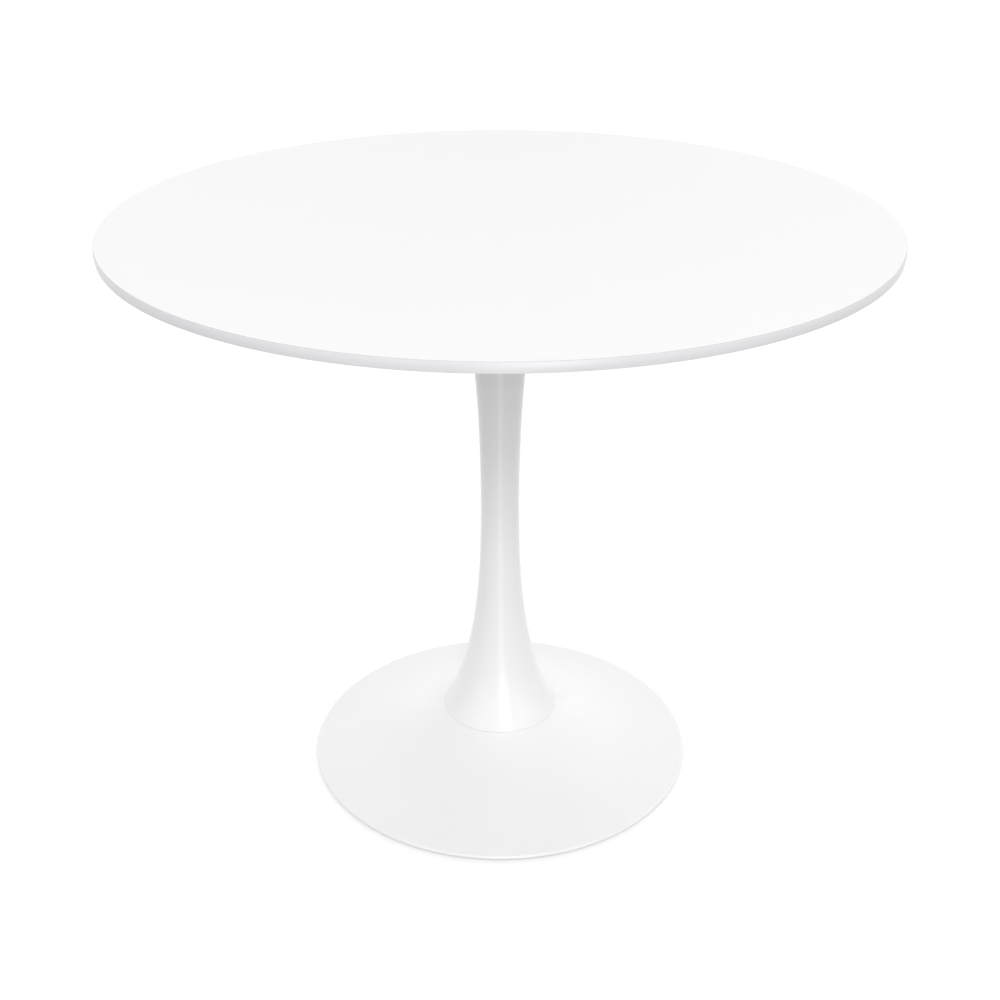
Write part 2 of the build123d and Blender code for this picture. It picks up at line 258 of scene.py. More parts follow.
def hexagon(name: str, width: float, bottom: float, top: float, bevel: float) -> bpy.types.Object:
    """Makes a six-sided prism with softened edges.

    Args:
        name: Name of the new piece.
        width: Size across the flats.
        bottom: Height of the lower face.
        top: Height of the upper face.
        bevel: Width of the bevel along every edge, or 0 for none.

    Returns:
        The prism, on the vertical axis.
    """
    bpy.ops.object.select_all(action="DESELECT")
    bpy.ops.mesh.primitive_cylinder_add(
        vertices=6,
        radius=width / math.sqrt(3),
        depth=top - bottom,
        location=(0, 0, (bottom + top) / 2),
    )
    piece = bpy.context.object
    piece.name = name
    bpy.ops.object.mode_set(mode="EDIT")
    if bevel > 0:
        bpy.ops.mesh.select_all(action="SELECT")
        bpy.ops.mesh.bevel(offset=bevel, segments=BEVEL_SEGMENTS, affect="EDGES")
    bpy.ops.object.mode_set(mode="OBJECT")
    close_and_face_out(piece)
    return piece


def copies_around(
    piece: bpy.types.Object, count: int, circle: float, start_degrees: float
) -> list[bpy.types.Object]:
    """Copies a piece evenly round a circle, each copy with its own mesh.

    Args:
        piece: The piece on the vertical axis; it becomes the first copy.
        count: Number of pieces in all.
        circle: Radius of the circle.
        start_degrees: Direction of the first one.

    Returns:
        The pieces, named with their number, each with its place in its mesh.
    """
    stem = piece.name
    made = [piece]
    for _ in range(count - 1):
        only(piece)
        bpy.ops.object.duplicate(linked=False)
        made.append(bpy.context.object)
    for number, copy in enumerate(made, start=1):
        turn = math.radians(start_degrees + 360 * (number - 1) / count)
        copy.name = f"{stem}_{number}"
        only(copy)
        bpy.ops.transform.rotate(value=-turn, orient_axis="Z", center_override=(0, 0, 0))
        bpy.ops.transform.translate(value=(circle * math.cos(turn), circle * math.sin(turn), 0))
        bpy.ops.object.transform_apply(location=True, rotation=True, scale=True)
    return made


# ---------------------------------------------------------------- finishes


def linear(code: str) -> tuple[float, float, float, float]:
    """Turns an sRGB colour into a linear one.

    Args:
        code: The colour as #RRGGBB.

    Returns:
        Linear red, green and blue, and an alpha of 1.
    """
    channels = [int(code[place : place + 2], 16) / 255 for place in (1, 3, 5)]
    low = [value / 12.92 for value in channels]
    high = [((value + 0.055) / 1.055) ** 2.4 for value in channels]
    red, green, blue = (a if value <= 0.04045 else b for value, a, b in zip(channels, low, high))
    return (red, green, blue, 1.0)


def add_node(
    tree: bpy.types.NodeTree,
    kind: str,
    values: Mapping[Any, Any] | None = None,
    links: Mapping[Any, bpy.types.NodeSocket] | None = None,
    **settings: Any,
) -> bpy.types.Node:
    """Adds a node with its settings, socket values and incoming links.

    Args:
        tree: The node tree to add to.
        kind: Blender's name of the node's type.
        values: Socket name or number, and the constant it gets.
        links: Socket name or number, and the output that feeds it.
        **settings: Attributes of the node.

    Returns:
        The new node.
    """
    node = tree.nodes.new(kind)
    for name, value in settings.items():
        setattr(node, name, value)
    for socket, value in (values or {}).items():
        node.inputs[socket].default_value = value
    for socket, source in (links or {}).items():
        tree.links.new(source, node.inputs[socket])
    return node


@dataclass(frozen=True)
class Finish:
    """What every finish shares: a colour that drifts a little, a gloss that drifts, and a fine relief.

    Attributes:
        name: The finish's plain name.
        light: The lighter of its two tones.
        dark: The darker of its two tones.
        drift_mm: Size of the patches in which the tone and the gloss drift.
        roughness: Lowest and highest roughness.
        relief_mm: Width of the bumps in its surface.
        relief_height_mm: Height of those bumps.
        metallic: 1 for bare metal, 0 for all else.
        ior: Index of refraction of the clear part of the surface.
    """

    name: str
    light: str
    dark: str
    drift_mm: float
    roughness: tuple[float, float]
    relief_mm: float
    relief_height_mm: float
    metallic: float = 0.0
    ior: float = 1.5

    def relief(self, tree: bpy.types.NodeTree, place: bpy.types.NodeSocket) -> bpy.types.NodeSocket:
        """Makes the height of the fine relief.

        Args:
            tree: The material's node tree.
            place: Object coordinates.

        Returns:
            The height, from 0 to 1.
        """
        noise = add_node(
            tree,
            "ShaderNodeTexNoise",
            values={"Scale": 1 / (self.relief_mm * MM), "Detail": 2.0, "Roughness": 0.4},
            links={"Vector": place},
        )
        return noise.outputs["Fac"]

    def gloss_values(self) -> dict[str, float]:
        """Constants of the shader that belong to this finish alone."""
        return {}

    def material(self) -> bpy.types.Material:
        """Builds the finish's material.

        Returns:
            A material with a Principled shader that reads Object coordinates.
        """
        made = bpy.data.materials.new(self.name)
        made.use_nodes = True
        tree = made.node_tree
        tree.nodes.clear()
        place = add_node(tree, "ShaderNodeTexCoord").outputs["Object"]
        drift = add_node(
            tree,
            "ShaderNodeTexNoise",
            values={"Scale": 1 / (self.drift_mm * MM), "Detail": 3.0, "Roughness": 0.5},
            links={"Vector": place},
        ).outputs["Fac"]
        tone = add_node(
            tree,
            "ShaderNodeMix",
            data_type="RGBA",
            values={6: linear(self.dark), 7: linear(self.light)},
            links={0: drift},
        ).outputs[2]
        gloss = add_node(
            tree,
            "ShaderNodeMapRange",
            values={"To Min": self.roughness[0], "To Max": self.roughness[1]},
            links={"Value": drift},
        ).outputs["Result"]
        bump = add_node(
            tree,
            "ShaderNodeBump",
            values={"Strength": 1.0, "Distance": self.relief_height_mm * MM},
            links={"Height": self.relief(tree, place)},
        ).outputs["Normal"]
        shader = add_node(
            tree,
            "ShaderNodeBsdfPrincipled",
            values={"Metallic": self.metallic, "IOR": self.ior, **self.gloss_values()},
            links={"Base Color": tone, "Roughness": gloss, "Normal": bump},
        )
        add_node(tree, "ShaderNodeOutputMaterial", links={"Surface": shader.outputs["BSDF"]})
        return made


@dataclass(frozen=True)
class SprayedLacquer(Finish):
    """Polyurethane lacquer sprayed on fibreboard and rubbed to satin: faint orange peel, even white."""

    # The real mist is nearer 0.2 mm. It is drawn coarser so that it shows.
    mist_mm: float = 0.6
    mist_share: float = 0.25

    def relief(self, tree: bpy.types.NodeTree, place: bpy.types.NodeSocket) -> bpy.types.NodeSocket:
        """Makes the long waves of the flowed coat and adds the finer mist of the last pass.

        Args:
            tree: The material's node tree.
            place: Object coordinates.

        Returns:
            The height, from 0 to 1.
        """
        mist = add_node(
            tree,
            "ShaderNodeTexNoise",
            values={"Scale": 1 / (self.mist_mm * MM), "Detail": 1.0},
            links={"Vector": place},
        )
        both = add_node(
            tree,
            "ShaderNodeMix",
            values={"Factor": self.mist_share},
            links={2: super().relief(tree, place), 3: mist.outputs["Fac"]},
        )
        return both.outputs[0]


@dataclass(frozen=True)
class PowderCoat(Finish):
    """Polyester powder fused on steel: round orange-peel dimples with a finer grain between them."""

    grain_mm: float = 0.5
    grain_share: float = 0.3

    def relief(self, tree: bpy.types.NodeTree, place: bpy.types.NodeSocket) -> bpy.types.NodeSocket:
        """Makes dimples from cells and adds a finer grain to them.

        Args:
            tree: The material's node tree.
            place: Object coordinates.

        Returns:
            The height, from 0 to 1.
        """
        cells = add_node(
            tree,
            "ShaderNodeTexVoronoi",
            feature="SMOOTH_F1",
            values={"Scale": 1 / (self.relief_mm * MM), "Smoothness": 1.0},
            links={"Vector": place},
        )
        grain = add_node(
            tree,
            "ShaderNodeTexNoise",
            values={"Scale": 1 / (self.grain_mm * MM), "Detail": 1.0},
            links={"Vector": place},
        )
        both = add_node(
            tree,
            "ShaderNodeMix",
            values={"Factor": self.grain_share},
            links={2: cells.outputs["Distance"], 3: grain.outputs["Fac"]},
        )
        return both.outputs[0]


@dataclass(frozen=True)
class ZincPlate(Finish):
    """Bright zinc on turned or pressed steel, with the faint streaks of its passivating bath."""

    streak_stretch: float = 6.0

    def relief(self, tree: bpy.types.NodeTree, place: bpy.types.NodeSocket) -> bpy.types.NodeSocket:
        """Makes the tool marks left under the plating.

        Args:
            tree: The material's node tree.
            place: Object coordinates.

        Returns:
            The height, from 0 to 1.
        """
        stretched = add_node(
            tree,
            "ShaderNodeMapping",
            values={"Scale": (1.0, 1.0, self.streak_stretch)},
            links={"Vector": place},
        )
        marks = add_node(
            tree,
            "ShaderNodeTexNoise",
            values={"Scale": 1 / (self.relief_mm * MM), "Detail": 4.0},
            links={"Vector": stretched.outputs["Vector"]},
        )
        return marks.outputs["Fac"]


@dataclass(frozen=True)
class MouldedPolymer(Finish):
    """Injection-moulded plastic with the spark-eroded grain of its mould and a soft glow."""

    glow: float = 0.08

    def gloss_values(self) -> dict[str, float]:
        """A little light scattered under the skin."""
        return {"Subsurface Weight": self.glow, "Subsurface Scale": 1.0 * MM}


# The rubbed face: an even white that holds only a wide, blurred sheen of the room.
WHITE_LACQUER = SprayedLacquer("satin_white_lacquer", "#EBEBEB", "#E8E8E8", 160, (0.37, 0.43), 3.0, 0.006)
# The band and the underside: the same lacquer left as sprayed, for a tighter highlight along the band,
# and painted a shade darker and cooler than the face as painted shade.
EDGE_PAINTED_SHADE_LACQUER = SprayedLacquer(
    "satin_white_lacquer_edge_painted_shade", "#E2E2E4", "#DEDEE0", 120, (0.27, 0.33), 3.0, 0.006
)
# The rounded corner between them: the same lacquer painted grey, a painted shade line round the face.
ARRIS_PAINTED_SHADE_LACQUER = SprayedLacquer(
    "white_lacquer_arris_painted_shade", "#D2D2D4", "#CECED0", 120, (0.40, 0.46), 3.0, 0.004
)
# Column and base: a clean white with a narrow upright highlight, broken slightly by its dimples.
WHITE_POWDER = PowderCoat("satin_white_powder_coat", "#EFEFEF", "#ECECEC", 90, (0.22, 0.28), 2.2, 0.006)
# Hidden plates: a dull near-black with a coarse dimpled skin and no clear reflection.
BLACK_POWDER = PowderCoat("matt_black_powder_coat", "#26272A", "#1E1F21", 60, (0.52, 0.62), 1.4, 0.03)
# Hardware: a pale, slightly blue metal whose brightness runs in faint streaks.
ZINC = ZincPlate("bright_zinc_plate", "#C6CACF", "#A9AEB2", 7, (0.26, 0.40), 0.6, 0.01, metallic=1.0)
# Glide pads and seam gasket: a milky warm white, softer than the painted steel round them.
WHITE_NYLON = MouldedPolymer(
    "moulded_white_nylon", "#EFEFEA", "#E8E8E2", 15, (0.42, 0.52), 0.35, 0.01, ior=1.53
)
# Hub cap: a waxy black with a faint grey bloom.
BLACK_POLYETHYLENE = MouldedPolymer(
    "moulded_black_polyethylene", "#232426", "#1B1C1D", 12, (0.45, 0.58), 0.4, 0.015, ior=1.51
)


# ---------------------------------------------------------------- the table's pieces


def dress(piece: bpy.types.Object, material: bpy.types.Material) -> None:
    """Gives a piece one material in every slot.

    Args:
        piece: A new piece or a node of the frame.
        material: The finish it gets.
    """
    if not piece.material_slots:
        piece.data.materials.append(material)
    for slot in piece.material_slots:
        slot.material = material


def install(piece: bpy.types.Object, body: str, nodes: Iterable[str]) -> None:
    """Puts a finished piece on its body in place of the frame's plain nodes.

    Args:
        piece: The finished piece.
        body: The body that it rides on.
        nodes: The nodes that it stands for.
    """
    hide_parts(*nodes)
    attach(piece, body)
    log.info("%s: %d faces, rides on %s", piece.name, len(piece.data.polygons), body)


@dataclass
class TableTop:
    """The board: a flat face, a slightly convex band and a bevel that thins it from below."""

    radius: float = 450 * MM
    band_height: float = 11 * MM
    band_crown: float = 0.5 * MM
    arris: float = 0.8 * MM
    bevel_width: float = 26 * MM
    support: float = 1.5 * MM
    rings: tuple[float, ...] = (0.02, 0.10, 0.20, 0.30, 0.40)
    face_rings: tuple[float, ...] = (0.42, 0.36, 0.28, 0.18, 0.08, 0.02)
    arris_start: float = 15.0
    band_steps: int = 12
    arris_steps: int = 6
    face_slope: float = 0.99
    band_slope: float = 0.25
    lathe: Lathe = Lathe(segments=288)

    def outline(self, bottom: float, top: float) -> Outline:
        """Draws the section from the middle of the underside round to the upper face.

        Args:
            bottom: Height of the underside.
            top: Height of the upper face.

        Returns:
            The outline.
        """
        side = self.radius - self.band_crown
        band_bottom = top - self.band_height
        half_band = (self.band_height - self.arris) / 2
        crown_radius = (half_band**2 + self.band_crown**2) / (2 * self.band_crown)
        crown_centre = (self.radius - crown_radius, band_bottom + half_band)
        crown_degrees = math.degrees(math.asin(half_band / crown_radius))
        bevel_foot = (side - self.bevel_width, bottom)
        bevel_degrees = math.degrees(math.atan2(band_bottom - bottom, self.bevel_width))
        edge = side - self.arris
        path = Outline([(radius, bottom) for radius in self.rings])
        path.line(toward(bevel_foot, -self.support, 0), bevel_foot)
        path.line(toward(bevel_foot, self.support, bevel_degrees))
        path.line(toward((side, band_bottom), -self.arris, bevel_degrees))
        path.arc(crown_centre, crown_radius, -crown_degrees, crown_degrees, self.band_steps)
        path.arc((edge, top - self.arris), self.arris, self.arris_start, 90, self.arris_steps)
        path.line((edge - self.support, top), (edge - 6 * self.support, top))
        return path.line(*((radius, top) for radius in self.face_rings))

    def build(
        self, face: bpy.types.Material, arris: bpy.types.Material, edge: bpy.types.Material
    ) -> None:
        """Turns the board, dresses its faces and puts it in place.

        Args:
            face: Finish of the flat face.
            arris: Finish of the rounded upper edge: the lacquer painted grey, a painted shade line.
            edge: Finish of the band and the underside: the lacquer painted a shade darker and cooler,
                which is painted shade.
        """
        low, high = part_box("table_top")
        board = self.lathe.turn("lacquered_top", self.outline(low.z, high.z))
        dress(board, face)
        board.data.materials.append(arris)
        board.data.materials.append(edge)
        # Faces that tilt away from straight up get darker copies of the lacquer: a painted shade line on
        # the arris, and painted shade on the band and the underside.
        for polygon in board.data.polygons:
            slopes = (self.face_slope, self.band_slope)
            polygon.material_index = sum(polygon.normal.z < slope for slope in slopes)
        install(board, TABLE, ["table_top"])


@dataclass
class Column:
    """The spun column: a trumpet at each end of a slim waist, with a flange turned in at each end."""

    waist_radius: float = 24 * MM
    waist_height: float = 369 * MM
    waist_handle_down: float = 134 * MM
    waist_handle_up: float = 101 * MM
    foot_radius: float = 75 * MM
    foot_angle: float = 61.0
    foot_handle: float = 78.5 * MM
    foot_edge: float = 0.4 * MM
    foot_opening: float = 46 * MM
    head_radius: float = 68 * MM
    head_angle: float = 58.7
    head_handle: float = 74.7 * MM
    head_opening: float = 52 * MM
    support: float = 4 * MM
    wall: float = 2 * MM
    edge_steps: int = 6
    curve_steps: int = 56
    lathe: Lathe = Lathe(segments=160)

    def outline(self, bottom: float, top: float) -> Outline:
        """Draws the outer skin from the foot's flange to the head's.

        Args:
            bottom: Height of the foot.
            top: Height of the head.

        Returns:
            The outline.
        """
        rise = 180 - self.foot_angle
        tilt = 90 - self.foot_angle
        foot = (self.foot_radius, bottom + self.foot_edge * (1 + math.sin(math.radians(tilt))))
        edge_centre = toward(foot, -self.foot_edge, tilt)
        waist = (self.waist_radius, self.waist_height)
        path = Outline([(self.foot_opening, bottom), (self.foot_radius - self.support, bottom)])
        path.arc(edge_centre, self.foot_edge, -90, tilt, self.edge_steps)
        path.curve((self.foot_handle, rise), (self.waist_handle_down, -90), waist, self.curve_steps)
        head = (self.head_radius, top)
        head_handle = (self.head_handle, 180 + self.head_angle)
        path.curve((self.waist_handle_up, 90), head_handle, head, self.curve_steps)
        return path.line((self.head_opening, top))

    def build(self, material: bpy.types.Material) -> None:
        """Turns the skin, gives it its wall, dresses it and puts it in place.

        Args:
            material: Finish of the whole shell.
        """
        low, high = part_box("column")
        shell = self.lathe.turn("column_shell", self.outline(low.z, high.z), Start.OPEN)
        add_wall(shell, self.wall)
        smooth(shell, self.lathe.crease_degrees)
        dress(shell, material)
        install(shell, TABLE, ["column"])


@dataclass
class BaseShell:
    """The spun base: a ledge under the column, a concave cone, a rolled rim and a turned-in lip."""

    radius: float = 250 * MM
    rim_radius: float = 3 * MM
    lip_opening: float = 226 * MM
    ledge_opening: float = 45 * MM
    ledge_radius: float = 75 * MM
    corner_radius: float = 0.8 * MM
    corner_setback: float = 0.6 * MM
    cone_top_angle: float = 46.0
    cone_top_handle: float = 46 * MM
    cone_rim_angle: float = 5.5
    cone_rim_handle: float = 75 * MM
    support: float = 4 * MM
    corner_steps: int = 6
    cone_steps: int = 64
    rim_steps: int = 18
    rim_step_degrees: float = 10.0
    wall: float = 1.5 * MM
    lathe: Lathe = Lathe(segments=224)

    def outline(self, bottom: float, top: float) -> Outline:
        """Draws the outer skin from the ledge out to the rim and in along the lip.

        Args:
            bottom: Height of the lip's underside.
            top: Height of the ledge.

        Returns:
            The outline.
        """
        corner = (self.ledge_radius - self.corner_setback, top - self.corner_radius)
        rim = (self.radius - self.rim_radius, bottom + self.rim_radius)
        rim_start = 90 - self.cone_rim_angle
        path = Outline([(self.ledge_opening, top), (self.ledge_radius - self.support, top)])
        path.arc(corner, self.corner_radius, 90, 90 - self.cone_top_angle, self.corner_steps)
        path.curve(
            (self.cone_top_handle, -self.cone_top_angle),
            (self.cone_rim_handle, 180 - self.cone_rim_angle),
            toward(rim, self.rim_radius, rim_start),
            self.cone_steps,
        )
        path.arc(rim, self.rim_radius, rim_start - self.rim_step_degrees, -90, self.rim_steps)
        return path.line((self.radius - 3 * self.rim_radius, bottom), (self.lip_opening, bottom))

    def build(self, material: bpy.types.Material) -> None:
        """Turns the skin, gives it its wall, dresses it and puts it in place.

        Args:
            material: Finish of the whole shell.
        """
        low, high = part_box("base_shell")
        shell = self.lathe.turn("base_cover", self.outline(low.z, high.z), Start.OPEN)
        add_wall(shell, self.wall)
        smooth(shell, self.lathe.crease_degrees)
        dress(shell, material)
        install(shell, TABLE, ["base_shell"])


@dataclass
class SeamGasket:
    """The thin white ring in the seam, with its outer edge rounded."""

    opening: float = 46 * MM
    radius: float = 74.3 * MM
    edge_steps: int = 6
    lathe: Lathe = Lathe(segments=160)

    def build(self, material: bpy.types.Material) -> None:
        """Turns the ring as a closed loop, dresses it and puts it in place.

        Args:
            material: Finish of the ring.
        """
        low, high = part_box("column_foot_gasket")
        half = (high.z - low.z) / 2
        start = (self.opening, low.z)
        path = Outline([start])
        path.arc((self.radius - half, low.z + half), half, -90, 90, self.edge_steps)
        path.line((self.opening, high.z), start)
        ring = self.lathe.turn("seam_gasket", path, Start.OPEN)
        dress(ring, material)
        install(ring, TABLE, ["column_foot_gasket"])


@dataclass
class PlateScrews:
    """The socket screws under the top plate, each with its washer."""

    count: int = 8
    circle: float = 120 * MM
    head_radius: float = 5.5 * MM
    head_height: float = 3.6 * MM
    head_round: float = 1.4 * MM
    shank_radius: float = 2.95 * MM
    socket_width: float = 4 * MM
    socket_depth: float = 2 * MM
    washer_radius: float = 6 * MM
    washer_bore: float = 3.3 * MM
    washer_edge: float = 0.3 * MM
    head_steps: int = 8
    washer_steps: int = 4
    lathe: Lathe = Lathe(segments=48)

    def build(self, material: bpy.types.Material) -> None:
        """Makes one screw and one washer, copies them round the plate and puts them in place.

        Args:
            material: Finish of the screws and the washers.
        """
        low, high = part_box("top_plate_screws")
        seat = low.z + self.head_height
        path = Outline([(INNERMOST, low.z), (self.head_radius - 1.5 * self.head_round, low.z)])
        round_centre = (self.head_radius - self.head_round, low.z + self.head_round)
        path.arc(round_centre, self.head_round, -90, 0, self.head_steps)
        path.line((self.head_radius, seat), (self.shank_radius, seat), (self.shank_radius, high.z))
        screw = self.lathe.turn("top_plate_screw", path.line((INNERMOST, high.z)))
        socket = hexagon("socket", self.socket_width, low.z - MM, low.z + self.socket_depth, 0)
        combine(screw, socket, Joining.CUT)
        smooth(screw, self.lathe.crease_degrees)

        low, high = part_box("top_plate_washers")
        edge = self.washer_radius - self.washer_edge
        start = (self.washer_bore, low.z)
        path = Outline([start])
        path.arc((edge, low.z + self.washer_edge), self.washer_edge, -90, 0, self.washer_steps)
        path.arc((edge, high.z - self.washer_edge), self.washer_edge, 0, 90, self.washer_steps)
        path.line((self.washer_bore, high.z), start)
        washer = self.lathe.turn("top_plate_washer", path, Start.OPEN)

        for piece, node in ((screw, "top_plate_screws"), (washer, "top_plate_washers")):
            for copy in copies_around(piece, self.count, self.circle, 0):
                dress(copy, material)
                install(copy, TABLE, [node])


@dataclass
class Glides:
    """The levelling glides: a threaded stud with a hex flange, snapped into a round pad."""

    count: int = 4
    circle: float = 185 * MM
    start_degrees: float = 45.0
    flange_width: float = 14 * MM
    flange_thickness: float = 2 * MM
    plate_bottom: float = 5 * MM
    thread_radius: float = 3.9 * MM
    thread_pitch: float = 1.25 * MM
    thread_depth: float = 0.7 * MM
    neck_radius: float = 3.5 * MM
    button_radius: float = 4.5 * MM
    button_thickness: float = 0.8 * MM
    pad_radius: float = 14 * MM
    pad_floor: float = 1.0 * MM
    pad_round: float = 0.8 * MM
    pad_top_round: float = 0.4 * MM
    mouth_height: float = 0.6 * MM
    chamfer: float = 0.2 * MM
    crest_half: float = 0.1 * MM
    flange_bevel: float = 0.25 * MM
    play: float = 0.1 * MM
    foot_steps: int = 8
    pad_top_steps: int = 5
    lathe: Lathe = Lathe(segments=64)

    def stud_outline(self, bottom: float, top: float) -> Outline:
        """Draws the button, the neck and the thread's ridges.

        Args:
            bottom: Height of the button's underside.
            top: Height of the stud's upper end.

        Returns:
            The outline.
        """
        button_top = bottom + self.button_thickness
        root = self.thread_radius - self.thread_depth
        path = Outline([(INNERMOST, bottom), (self.button_radius - self.chamfer, bottom)])
        path.line((self.button_radius, bottom + self.chamfer), (self.button_radius, button_top))
        path.line((self.neck_radius, button_top), (self.neck_radius, self.plate_bottom))
        path.line((root, self.plate_bottom))
        height = self.plate_bottom + self.thread_pitch / 2
        while height + self.thread_pitch < top:
            crest = height + self.thread_pitch / 2
            path.line((root, height), (self.thread_radius, crest - self.crest_half))
            path.line((self.thread_radius, crest + self.crest_half))
            height += self.thread_pitch
        return path.line((root, height), (root, top), (INNERMOST, top))

    def pad_outline(self, bottom: float, top: float) -> Outline:
        """Draws the pad's foot, side, mouth and undercut socket.

        Args:
            bottom: Height of the face on the floor.
            top: Height of the pad's upper face.

        Returns:
            The outline, closed on the axis at both ends.
        """
        side = self.pad_radius - self.pad_round
        pocket = self.button_radius + self.play
        mouth = self.neck_radius + self.play
        catch = top - self.mouth_height
        path = Outline([(INNERMOST, bottom), (side - self.pad_round, bottom)])
        path.arc((side, bottom + self.pad_round), self.pad_round, -90, 0, self.foot_steps)
        top_centre = (self.pad_radius - self.pad_top_round, top - self.pad_top_round)
        path.arc(top_centre, self.pad_top_round, 0, 90, self.pad_top_steps)
        path.line((mouth + self.chamfer, top), (mouth, top - self.chamfer))
        path.line((mouth, catch), (pocket, catch))
        return path.line((pocket, self.pad_floor), (INNERMOST, self.pad_floor))

    def build(self, metal: bpy.types.Material, plastic: bpy.types.Material) -> None:
        """Makes one stud and one pad, copies them to the corners and puts them on their bodies.

        Args:
            metal: Finish of the studs.
            plastic: Finish of the pads.
        """
        low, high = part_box("glide_stud_1")
        stud = self.lathe.turn("levelling_stud", self.stud_outline(low.z, high.z))
        flange_bottom = self.plate_bottom - self.flange_thickness
        flange = hexagon(
            "flange", self.flange_width, flange_bottom, self.plate_bottom, self.flange_bevel
        )
        combine(stud, flange, Joining.ADD)
        smooth(stud, self.lathe.crease_degrees)
        low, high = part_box("glide_pad_1")
        pad = self.lathe.turn("levelling_pad", self.pad_outline(low.z, high.z))
        kinds = (
            (stud, "glide_stud", metal, "zinc_plated_steel"),
            (pad, "glide_pad", plastic, "white_nylon"),
        )
        for piece, node, material, slot in kinds:
            copies = copies_around(piece, self.count, self.circle, self.start_degrees)
            for number, copy in enumerate(copies, start=1):
                dress(copy, material)
                install(copy, f"{node}_{number}", [f"{node}_{number}"])


@dataclass
class HubCap:
    """The plastic plug under the hub: a rounded flange with a raised ring, and a skirt above it."""

    flange_radius: float = 33 * MM
    flange_thickness: float = 1.5 * MM
    skirt_radius: float = 29.8 * MM
    skirt_wall: float = 2 * MM
    edge_round: float = 0.6 * MM
    dish_radius: float = 22 * MM
    dish_depth: float = 0.5 * MM
    edge_steps: int = 5
    lathe: Lathe = Lathe(segments=96)

    def build(self, material: bpy.types.Material) -> None:
        """Turns the plug, dresses it and puts it in place.

        Args:
            material: Finish of the plug.
        """
        low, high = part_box("hub_cap")
        shoulder = low.z + self.flange_thickness
        inner = self.skirt_radius - self.skirt_wall
        dish = low.z + self.dish_depth
        path = Outline([(INNERMOST, dish), (self.dish_radius, dish)])
        path.line((self.dish_radius + self.dish_depth, low.z))
        round_centre = (self.flange_radius - self.edge_round, low.z + self.edge_round)
        path.arc(round_centre, self.edge_round, -90, 0, self.edge_steps)
        path.line((self.flange_radius, shoulder), (self.skirt_radius, shoulder))
        path.line((self.skirt_radius, high.z))
        path.line((inner, high.z), (inner, shoulder), (INNERMOST, shoulder))
        cap = self.lathe.turn("hub_cap_plug", path)
        dress(cap, material)
        install(cap, TABLE, ["hub_cap"])


@dataclass
class PlateWork:
    """The nodes whose shape is already the real one: they keep it and only get their finish."""

    black: tuple[str, ...] = ("top_plate", "base_plate", "ballast_disc")
    zinc: tuple[str, ...] = (
        "insert_nuts", "tie_rod_anchor_nut", "column_locating_ring", "tie_rod", "base_hub", "hub_washer",
        "hub_spring_washer", "hub_nut", "ballast_screws", "glide_weld_nuts",
    )

    def build(self, black: bpy.types.Material, zinc: bpy.types.Material) -> None:
        """Dresses each node.

        Args:
            black: Finish of the plates.
            zinc: Finish of the fasteners and the hub.
        """
        for names, material in ((self.black, black), (self.zinc, zinc)):
            for name in names:
                dress(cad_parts[name], material)
                log.info("%s: keeps its shape, finish %s", name, material.name)


# ---------------------------------------------------------------- the studio


@dataclass(frozen=True)
class SoftBox:
    """One rectangular soft light.

    Attributes:
        name: The light's name.
        place: Where it stands.
        aim: The point that it faces.
        width: Its width.
        height: Its height.
        power: Its power in watts.
        gloss_only: Whether only glossy surfaces catch it.
    """

    name: str
    place: tuple[float, float, float]
    aim: tuple[float, float, float]
    width: float
    height: float
    power: float
    gloss_only: bool = False

    def build(self) -> None:
        """Adds the light and turns it to face its aim."""
        bpy.ops.object.select_all(action="DESELECT")
        bpy.ops.object.light_add(type="AREA", location=self.place)
        lamp = bpy.context.object
        lamp.name = self.name
        lamp.data.shape = "RECTANGLE"
        lamp.data.size = self.width
        lamp.data.size_y = self.height
        lamp.data.energy = self.power
        line = [aim - place for aim, place in zip(self.aim, self.place)]
        yaw = math.atan2(line[1], line[0]) - math.pi / 2
        pitch = math.atan2(line[2], math.hypot(line[0], line[1]))
        lamp.rotation_euler = (math.pi / 2 + pitch, 0, yaw)
        lamp.visible_diffuse = not self.gloss_only


@dataclass(frozen=True)
class SoftWall:
    """One side of the even room, which brightens the directions that point at it.

    Attributes:
        direction: The way from the table to the wall.
        above: Strength straight ahead above the horizon.
        below: Strength straight ahead below the horizon.
    """

    direction: tuple[float, float, float]
    above: float
    below: float


